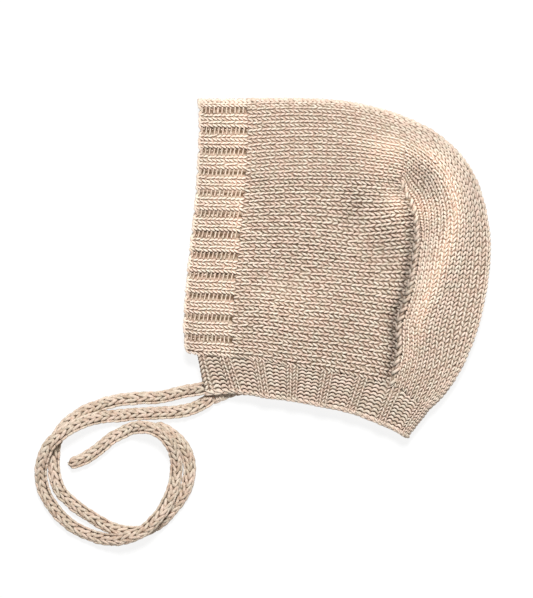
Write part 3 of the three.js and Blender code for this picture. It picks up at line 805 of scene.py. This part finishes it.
def skin(cloth, rows, columns, courses=None, sunk=1.5, wale_size=1.0, tones=(0.0, 0.0)):
    """A sheet beneath the stitches, the painted shade between them, that knows the wale and course of
    each of its points; its tones set how deep that painted shade is, that of the raised wales and that
    of the sunk ones."""
    pick_nothing()
    bpy.ops.mesh.primitive_grid_add(x_subdivisions=columns, y_subdivisions=rows, size=2)
    piece = bpy.context.object
    piece.name = "base"
    points = vertices_of(piece)
    first, last = courses or (cloth.courses[0], cloth.courses[-1])
    course = between(first, last, (points[:, 0] + 1) / 2)
    wale = between(cloth.wales[0], cloth.wales[-1], (points[:, 1] + 1) / 2)
    move_vertices(piece, cloth.at(wale, course, np.full(len(points), -sunk)))
    sunk_share = 0 * wale if cloth.relief is None else -cloth.relief(wale, course) / RIB_RECESS
    # The base's tone sets how deep its painted shade is, from that of the raised wales to that of the
    # sunk ones
    put(piece, "tone", between(tones[0], tones[1], sunk_share))
    put(piece, "wale", wale / wale_size)
    put(piece, "course", course)
    piece.data.flip_normals()
    return piece


def shell(cloth, thickness, rows, columns, courses=None, sunk=1.5, wale_size=1.0, tones=(0.0, 0.0)):
    """The same sheet with the thickness of the cloth; its far face is the bonnet's inside."""
    piece = skin(cloth, rows, columns, courses, sunk, wale_size, tones)
    solidify = piece.modifiers.new("wall", "SOLIDIFY")
    solidify.thickness = thickness - sunk
    solidify.offset = -1.0
    solidify.material_offset = 1
    solidify.material_offset_rim = 1
    # Its outer face wears the painted shade between the stitches, its far face and rim the lining
    piece.data.materials.append(painted_shade_wool)
    piece.data.materials.append(lining)
    bpy.ops.object.modifier_apply(modifier=solidify.name)
    return piece


# Vertices of one bit of yarn
BIT_POINTS = 26


def knit_stitch():
    """Two legs of a plain stitch; the yarn's twist makes one slant more than the other."""
    flat_leg = leg((-0.55, -0.15, -0.95), (0.68, -0.35, -1.35), 0.172, 0.64, 0.38)
    steep_leg = leg((-0.55, 0.09, -0.95), (0.68, 0.45, -1.35), 0.172, 0.64, 0.38)
    return joined("knit_stitch", [flat_leg, steep_leg])


def cord_stitch():
    """A fat, long stitch of the ties."""
    legs = []
    for side in (-1, 1):
        start, end = (-0.78, side * 0.03, -0.50), (0.74, side * 0.49, -0.42)
        legs.append(leg(start, end, 0.235, 0.72, 0.20))
    return joined("cord_stitch", legs)


def seam_stitch():
    """A slanting decrease stitch over the end of the row that it takes in."""
    over = leg((-0.50, -0.36, -0.7), (0.50, 0.34, -0.9), 0.25, 0.85, 0.45)
    below = leg((-0.20, -0.40, -1.3), (0.70, -0.10, -1.3), 0.20, 0.8, 0.2)
    return joined("seam_stitch", [over, below])


# Materials

# Scales of the tones within the yarn, of the flecks of hue and of the single fibres
HEATHER_SCALE = 620.0
FLECK_SCALE = 260.0
FIBRE_SCALE = 2600.0
# Weight of a stitch's own tone beside the heather's
STITCH_TONE = 0.055
# Heights in metres that the bumps of fibres and of purl rows stand for
FIBRE_BUMP = 0.0004
PURL_BUMP = 0.0009
# Height of the purl rows' cosine, and how far it sways with the wales
PURL_HEIGHT = 0.2
PURL_SWAY = 0.2


def wool(name, light, dark, strength, purled=False):
    """Heathered wool: fibres of two tones, a little different from stitch to stitch, its colour scaled
    by painted light and shade. Purled wool has the waved rows of the inside of the knitting as well,
    painted darker in their troughs."""
    material = bpy.data.materials.new(name)
    material.use_nodes = True
    nodes = material.node_tree.nodes
    links = material.node_tree.links
    shader = nodes["Principled BSDF"]
    shader.inputs["Roughness"].default_value = 0.92
    shader.inputs["Specular IOR Level"].default_value = 0.15
    shader.inputs["Sheen Weight"].default_value = 0.1
    shader.inputs["Sheen Roughness"].default_value = 0.55
    shader.inputs["Sheen Tint"].default_value = (1.0, 0.95, 0.88, 1.0)

    place = nodes.new("ShaderNodeTexCoord")
    heather = nodes.new("ShaderNodeTexNoise")
    heather.inputs["Scale"].default_value = HEATHER_SCALE
    heather.inputs["Detail"].default_value = 3.0
    heather.inputs["Roughness"].default_value = 0.65
    links.new(place.outputs["Object"], heather.inputs["Vector"])

    tone = nodes.new("ShaderNodeAttribute")
    tone.attribute_name = "tone"
    stitch_share = nodes.new("ShaderNodeMath")
    stitch_share.operation = "MULTIPLY"
    stitch_share.inputs[1].default_value = STITCH_TONE
    links.new(tone.outputs["Fac"], stitch_share.inputs[0])
    mixed = nodes.new("ShaderNodeMath")
    mixed.operation = "ADD"
    links.new(heather.outputs["Fac"], mixed.inputs[0])
    links.new(stitch_share.outputs["Value"], mixed.inputs[1])

    ramp = nodes.new("ShaderNodeValToRGB")
    ramp.color_ramp.elements[0].position = 0.33
    ramp.color_ramp.elements[0].color = dark
    ramp.color_ramp.elements[1].position = 0.62
    ramp.color_ramp.elements[1].color = light
    links.new(mixed.outputs["Value"], ramp.inputs["Fac"])

    flecks = nodes.new("ShaderNodeTexNoise")
    flecks.inputs["Scale"].default_value = FLECK_SCALE
    flecks.inputs["Detail"].default_value = 2.0
    links.new(place.outputs["Object"], flecks.inputs["Vector"])
    hue = nodes.new("ShaderNodeValToRGB")
    hue.color_ramp.elements[0].position = 0.38
    hue.color_ramp.elements[0].color = (1.0, 0.94, 0.92, 1.0)
    hue.color_ramp.elements[1].position = 0.62
    hue.color_ramp.elements[1].color = (0.97, 1.0, 0.97, 1.0)
    links.new(flecks.outputs["Fac"], hue.inputs["Fac"])
    tinted = nodes.new("ShaderNodeVectorMath")
    tinted.operation = "MULTIPLY"
    links.new(ramp.outputs["Color"], tinted.inputs[0])
    links.new(hue.outputs["Color"], tinted.inputs[1])
    # The base colour is scaled by the attribute of painted light and shade, which also holds each
    # band's brightness shift
    painted_shade_and_brightness = nodes.new("ShaderNodeAttribute")
    painted_shade_and_brightness.attribute_name = "painted_shade_and_brightness"
    paler = nodes.new("ShaderNodeMath")
    paler.operation = "ADD"
    paler.inputs[1].default_value = 1.0
    links.new(painted_shade_and_brightness.outputs["Fac"], paler.inputs[0])
    painted_shaded = nodes.new("ShaderNodeVectorMath")
    painted_shaded.operation = "SCALE"
    links.new(tinted.outputs["Vector"], painted_shaded.inputs[0])
    links.new(paler.outputs["Value"], painted_shaded.inputs["Scale"])
    links.new(painted_shaded.outputs["Vector"], shader.inputs["Base Color"])

    fibre = nodes.new("ShaderNodeTexNoise")
    fibre.inputs["Scale"].default_value = FIBRE_SCALE
    fibre.inputs["Detail"].default_value = 2.0
    links.new(place.outputs["Object"], fibre.inputs["Vector"])
    bump = nodes.new("ShaderNodeBump")
    bump.inputs["Strength"].default_value = strength
    bump.inputs["Distance"].default_value = FIBRE_BUMP
    links.new(fibre.outputs["Fac"], bump.inputs["Height"])
    links.new(bump.outputs["Normal"], shader.inputs["Normal"])
    if purled:
        # The purl rows set the colour as well as the bumps: painted shade in their troughs
        rows = purl_rows(nodes, links)
        links.new(rows, mixed.inputs[1])
        waves = nodes.new("ShaderNodeBump")
        waves.inputs["Strength"].default_value = 1.0
        waves.inputs["Distance"].default_value = PURL_BUMP
        links.new(rows, waves.inputs["Height"])
        links.new(waves.outputs["Normal"], bump.inputs["Normal"])
    return material


def purl_rows(nodes, links):
    """Height of the waved rows: a cosine over the courses that sways with the wales."""

    def step(operation, first, second):
        node = nodes.new("ShaderNodeMath")
        node.operation = operation
        for socket, source in zip(node.inputs, (first, second)):
            if isinstance(source, float):
                socket.default_value = source
            elif source is not None:
                links.new(source, socket)
        return node.outputs["Value"]

    wale = nodes.new("ShaderNodeAttribute")
    wale.attribute_name = "wale"
    course = nodes.new("ShaderNodeAttribute")
    course.attribute_name = "course"
    wave = step("COSINE", step("MULTIPLY", wale.outputs["Fac"], 2 * math.pi), None)
    turn = step("ADD", course.outputs["Fac"], step("MULTIPLY", wave, PURL_SWAY))
    rows = step("COSINE", step("MULTIPLY", turn, 2 * math.pi), None)
    return step("MULTIPLY", rows, PURL_HEIGHT)


LIGHT_WOOL = (0.83, 0.71, 0.61, 1.0)
DARK_WOOL = (0.62, 0.49, 0.39, 1.0)
CORD_LIGHT = (0.73, 0.61, 0.51, 1.0)
CORD_DARK = (0.50, 0.385, 0.29, 1.0)
# The dark sheet beneath the stitches is painted shade between them
PAINTED_SHADE_LIGHT = (0.42, 0.32, 0.25, 1.0)
PAINTED_SHADE_DARK = (0.12, 0.075, 0.045, 1.0)
yarn = wool("oatmeal_yarn", LIGHT_WOOL, DARK_WOOL, 0.5)
cord_yarn = wool("oatmeal_cord", CORD_LIGHT, CORD_DARK, 0.5)
painted_shade_wool = wool("oatmeal_painted_shade", PAINTED_SHADE_LIGHT, PAINTED_SHADE_DARK, 0.3)
# The lining runs from the yarn's light tone to a darker one by random heather and by painted shade in
# its purl rows' troughs
lining = wool("oatmeal_lining", LIGHT_WOOL, PAINTED_SHADE_LIGHT, 0.5, purled=True)


def resting(points):
    """Stitches that meet the table are pressed a little flatter and stay above it."""
    level = points[:, 2]
    pressed = PRESSED * np.exp(np.minimum(level / PRESSED, 1) - 1)
    points[:, 2] = np.where(level < PRESSED, pressed, level)
    return points


def finished(name, stitches, base, node, wool_of=yarn, painted_shade_and_brightness=0.0):
    """Joins stitches and base cloth into one piece in metres that stands for its node."""
    # Every piece carries its painted light and shade by place, plus its band's brightness shift
    for piece in stitches:
        piece.data.materials.append(wool_of)
        put(piece, "painted_shade_and_brightness", painted_shade_at(vertices_of(piece)) + painted_shade_and_brightness)
    # The base's painted light is made stronger where it is positive, as light falls between the
    # stitches there
    for piece in base:
        raised = painted_shade_at(vertices_of(piece))
        put(piece, "painted_shade_and_brightness", raised + BASE_PAINTED_LIGHT * np.maximum(raised, 0) + painted_shade_and_brightness)
    whole = joined(name, stitches + base)
    points = resting(vertices_of(whole))
    move_vertices(whole, (points + FRAME_SHIFT) * MM)
    whole.data.polygons.foreach_set("use_smooth", np.ones(len(whole.data.polygons), bool))
    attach(whole, "root")
    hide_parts(node)
    return whole


# Pieces

knit_unit = knit_stitch()
cord_unit = cord_stitch()
seam_unit = seam_stitch()
rung_unit = bar(reach=0.54, lean=-0.12, bow=0.02, width=0.21, depth=-0.75, thick=0.55, arch=0.3)
wave_unit = bar(reach=0.58, lean=0.0, bow=0.27, width=0.41, depth=-0.60, thick=0.46, arch=0.1)
edge_unit = bar(reach=0.60, lean=0.12, bow=0.0, width=0.40, depth=-1.6, thick=1.2, arch=0.1)
hem_unit = bar(reach=0.56, lean=-0.42, bow=0.0, width=0.30, depth=-0.65, thick=0.75, arch=0.35)


def build_side_panel(side, seed):
    cloth = side_panel_cloth(side)
    count = int(HALF_WALES - STRIP_WALES)
    swatch = repeated(knit_unit, "stitches", (SIDE_COURSES, 1.0), (count, 1.0))
    laid(swatch, cloth, seed, (0.5, cloth.wales[0] + 0.5), drift=BAND_SHIFT)
    back = inside(cloth, WALL, INNER_COURSES)
    purls = repeated(wave_unit, "purls", (INNER_COURSES, 1.0), (count, 1.0))
    laid(purls, back, seed + 60, (0.5, back.wales[0] + 0.5))
    base = shell(cloth, WALL - LINING_SUNK, 40, 50)
    node = f"side_panel_{side}"
    finished(f"{node}_knit", [swatch, purls], [base], node)


def build_crown_strip():
    cloth = crown_strip_cloth()
    # The last number of each part is the tone of the painted shade beneath its stitches, lighter on
    # the crown
    parts = (("crown", 0, SIDE_COURSES, 40, 3.0), ("back", SIDE_COURSES, HEEL_COURSES, 72, 0.5))
    side = 0.5 - STRIP_WALES
    for seed, (name, first, count, columns, tone) in enumerate(parts, 3):
        swatch = repeated(knit_unit, "stitches", (count, 1.0), (STRIP_COLUMNS, 1.0))
        pieces = [laid(swatch, cloth, seed, (first + 0.5, side), drift=BAND_SHIFT)]
        if first == 0:
            purls = repeated(wave_unit, "purls", (INNER_COURSES, 1.0), (STRIP_COLUMNS, 1.0))
            back = inside(cloth, WALL, INNER_COURSES)
            pieces.append(laid(purls, back, seed + 60, (0.5, side)))
        span = (first, first + count)
        base = shell(cloth, WALL - LINING_SUNK, 60, columns, span, tones=(tone, tone))
        finished(f"{name}_knit", pieces, [base], "crown_strip")


def build_front_band():
    cloth = front_band_cloth()
    pieces = []
    # The raised wales are painted paler: painted light
    for k in (1, 2):
        swatch = repeated(knit_unit, "raised", (BAND_COURSES, 1.0), (RIB_COLUMNS, RIB_PITCH))
        pieces.append(laid(swatch, cloth, 10 + k, (0.5, FIRST_RIB + k + BAND_SHIFT), painted_light_bias=1.2))
    # The rungs in the recesses are painted darker: painted shade
    rungs = repeated(rung_unit, "rungs", (BAND_COURSES, RUNG_STEP), (RUNG_COLUMNS, RIB_PITCH))
    pieces.append(laid(rungs, cloth, 13, (0.5, FIRST_RUNG + BAND_SHIFT), painted_light_bias=-2.5))
    back = inside(cloth, RIB_WALL)
    ribs = repeated(knit_unit, "inner_ribs", (BAND_COURSES, 1.0), (RUNG_COLUMNS, RIB_PITCH))
    pieces.append(laid(ribs, back, 15, (0.5, FIRST_RUNG - BAND_SHIFT)))
    for k in (1, 2):
        purls = repeated(wave_unit, "purls", (BAND_COURSES, 1.0), (RIB_COLUMNS, RIB_PITCH))
        pieces.append(laid(purls, back, 15 + k, (0.5, FIRST_RIB + k - BAND_SHIFT)))
    edge = repeated(edge_unit, "cast_on", (1, 1.0), (BAND_COLUMNS, 1.0))
    pieces.append(laid(edge, cloth, 14, (0.1, 0.5 - HALF_WALES)))
    # The base is painted paler beneath the raised wales and darker in the recesses: painted light and
    # shade
    base = shell(cloth, RIB_WALL - LINING_SUNK, 150, 14, tones=(4.0, -5.0))
    finished("front_band_knit", pieces, [base], "front_band", painted_shade_and_brightness=BAND_BRIGHTNESS_SHIFT)


def along_band(unit, span, sign, rows, first, cloth, seed):
    """Columns of a stitch between two distances from the nape fold."""
    low, high = span
    count = max(round((high - low) / WALE), 1)
    step = (high - low) / count
    piece = repeated(unit, "column", (rows, 1.0), (count, 1.0))
    points = vertices_of(piece)
    points[:, 1] = sign * (low + step * (points[:, 1] + 0.5))
    move_vertices(piece, points)
    if sign < 0:
        piece.data.flip_normals()
    return laid(piece, cloth, seed, (first, 0.0), slack=0.03)


def build_neck_band():
    cloth, ribs = neck_band_cloth()
    grooves = []
    pieces = []
    seed = 20
    for sign, raised in ribs:
        for k in range(1, len(raised)):
            high = raised[k - 1][0] - raised[k - 1][1]
            low = raised[k][0] + raised[k][1]
            grooves.append((sign * (high + low) / 2, (high - low) / 2))
    cloth.relief = rib_relief(RIB_RECESS, grooves, NECK_GROOVE_FLANK)
    back = inside(cloth, RIB_WALL)
    for sign, raised in ribs:
        length = raised[0][0]
        for k, (middle, half) in enumerate(raised):
            seed += 1
            low, high = max(middle - half, 0.0), min(middle + half, length)
            for face, turn, unit in ((cloth, sign, knit_unit), (back, -sign, wave_unit)):
                pieces.append(along_band(unit, (low, high), turn, NECK_COURSES, 0.5, face, seed))
            if k + 1 < len(raised):
                span = (raised[k + 1][0] + raised[k + 1][1], low)
                for face, turn, unit in ((cloth, sign, wave_unit), (back, -sign, knit_unit)):
                    pieces.append(along_band(unit, span, turn, NECK_COURSES, 0.5, face, seed + 50))
        for unit, course in ((edge_unit, NECK_COURSES), (hem_unit, NECK_COURSES - 0.45)):
            seed += 1
            pieces.append(along_band(unit, (0.0, length), sign, 1, course, cloth, seed + 90))
    # The base's painted shade is lighter in the purl recesses than beneath the ribs
    base = shell(cloth, RIB_WALL - LINING_SUNK, 220, 12, wale_size=WALE, tones=(0.5, 2.0))
    finished("neck_band_knit", pieces, [base], "neck_band", painted_shade_and_brightness=NECK_BRIGHTNESS_SHIFT)


def build_seam_ridge(side, seed):
    share = np.linspace(0, 1, 121)
    plan = seam_line(share)
    tangent = np.gradient(plan, axis=0)
    tangent /= np.linalg.norm(tangent, axis=1, keepdims=True)
    left = np.stack((-tangent[:, 1], tangent[:, 0]), -1)
    if side == "near":
        level = near_height(plan) + (crease_at(plan)[0] - SEAM_HEIGHT) / 2
    else:
        level = np.full(len(plan), SEAM_HEIGHT / 2)
    stitches = round(SEAM_LENGTH / SEAM_STITCH)
    angles = np.linspace(0, 2 * math.pi, 33)
    points = np.zeros((len(angles), len(share), 3))
    for i, angle in enumerate(angles):
        across = math.cos(angle) * SEAM_WIDTH / 2
        points[i, :, :2] = plan + left * across
        points[i, :, 2] = level + math.sin(angle) * SEAM_HEIGHT / 2
    cloth = Cloth(np.linspace(0, 2, 33), share * stitches, points)
    swatch = repeated(seam_unit, "seam", (stitches, 1.0), (2, 1.0))
    laid(swatch, cloth, seed, (0.5, 0.5), slack=0.08)
    core = skin(cloth, 16, 3 * stitches, sunk=1.3)
    # The core's dark wool is painted shade between the seam's stitches
    core.data.materials.append(painted_shade_wool)
    node = f"seam_ridge_{side}"
    finished(f"{node}_knit", [swatch], [core], node)


def tie_cloth(route):
    line, length = by_length(curve(route))
    stitches = round(length / TIE_STITCH)
    share = np.linspace(0, 1, 4 * stitches + 1)
    centre = line(share)
    tangent = np.gradient(centre, axis=0)
    tangent /= np.linalg.norm(tangent, axis=1, keepdims=True)
    side = np.cross(np.array((0.0, 0.0, 1.0)), tangent)
    side /= np.linalg.norm(side, axis=1, keepdims=True)
    up = np.cross(tangent, side)
    radius = TIE_DIAMETER / 2
    from_tip = np.maximum(length * (1 - share), 0)
    tip = np.minimum(from_tip / radius, 1)
    girth = radius * np.maximum(np.sqrt(1 - (1 - tip) ** 2), TIP_GIRTH)
    angles = np.linspace(0, 2 * math.pi, 33)
    points = np.zeros((len(angles), len(share), 3))
    for i, angle in enumerate(angles):
        ring = side * math.cos(angle) + up * math.sin(angle)
        points[i] = centre + ring * girth[:, None]
    wales = np.linspace(0, TIE_WALES, len(angles))
    return Cloth(wales, share * stitches, points), centre, length, stitches


def build_tie(side, route, seed):
    cloth, centre, length, stitches = tie_cloth(route)
    swatch = repeated(cord_unit, "cord", (stitches, 1.0), (TIE_WALES, 1.0))
    laid(swatch, cloth, seed, (0.4, 1.0))
    core = skin(cloth, 16, 2 * stitches, sunk=1.0)
    # The core's dark wool is painted shade between the cord's stitches
    core.data.materials.append(painted_shade_wool)
    node = f"tie_{side}"
    whole = finished(f"{node}_cord", [swatch], [core], node, cord_yarn)


build_tie("near", TIE_NEAR_ROUTE, 51)
build_tie("far", TIE_FAR_ROUTE, 52)
build_crown_strip()
build_side_panel("near", 1)
build_side_panel("far", 2)
build_front_band()
build_neck_band()
build_seam_ridge("near", 41)
build_seam_ridge("far", 42)

for unit in (knit_unit, cord_unit, seam_unit, rung_unit, wave_unit, edge_unit, hem_unit):
    bpy.data.objects.remove(unit)


# Table, light and world

TABLE_COLOR = (0.12, 0.12, 0.12, 1.0)
TABLE_GLOW = 0.86
WORLD_LIGHT = 0.28
KEY_PLACE = (0.0, 0.7, 1.5)
KEY_SIZE = 0.4
KEY_POWER = 34.0


def build_table():
    pick_nothing()
    bpy.ops.mesh.primitive_plane_add(size=6.0, location=(0, 0, 0))
    table = bpy.context.object
    table.name = "table"
    material = bpy.data.materials.new("table_white")
    material.use_nodes = True
    shader = material.node_tree.nodes["Principled BSDF"]
    shader.inputs["Base Color"].default_value = TABLE_COLOR
    shader.inputs["Roughness"].default_value = 0.9
    shader.inputs["Emission Color"].default_value = (1.0, 1.0, 1.0, 1.0)
    shader.inputs["Emission Strength"].default_value = TABLE_GLOW
    table.data.materials.append(material)


def soft_box(name, place, size, power, target=(0.0, 0.0, 0.0)):
    data = bpy.data.lights.new(name, "AREA")
    data.shape = "SQUARE"
    data.size = size
    data.energy = power
    lamp = bpy.data.objects.new(name, data)
    bpy.context.scene.collection.objects.link(lamp)
    lamp.location = place
    away = [place[k] - target[k] for k in range(3)]
    flat = math.hypot(away[0], away[1])
    lamp.rotation_euler = (math.atan2(flat, away[2]), 0.0, math.atan2(away[1], away[0]) + math.pi / 2)


def build_light():
    world = bpy.data.worlds.new("studio")
    bpy.context.scene.world = world
    world.use_nodes = True
    background = world.node_tree.nodes["Background"]
    background.inputs["Color"].default_value = (1.0, 1.0, 1.0, 1.0)
    background.inputs["Strength"].default_value = WORLD_LIGHT
    soft_box("key_light", KEY_PLACE, KEY_SIZE, KEY_POWER)
    bpy.context.scene.view_settings.view_transform = "Standard"


build_table()
build_light()
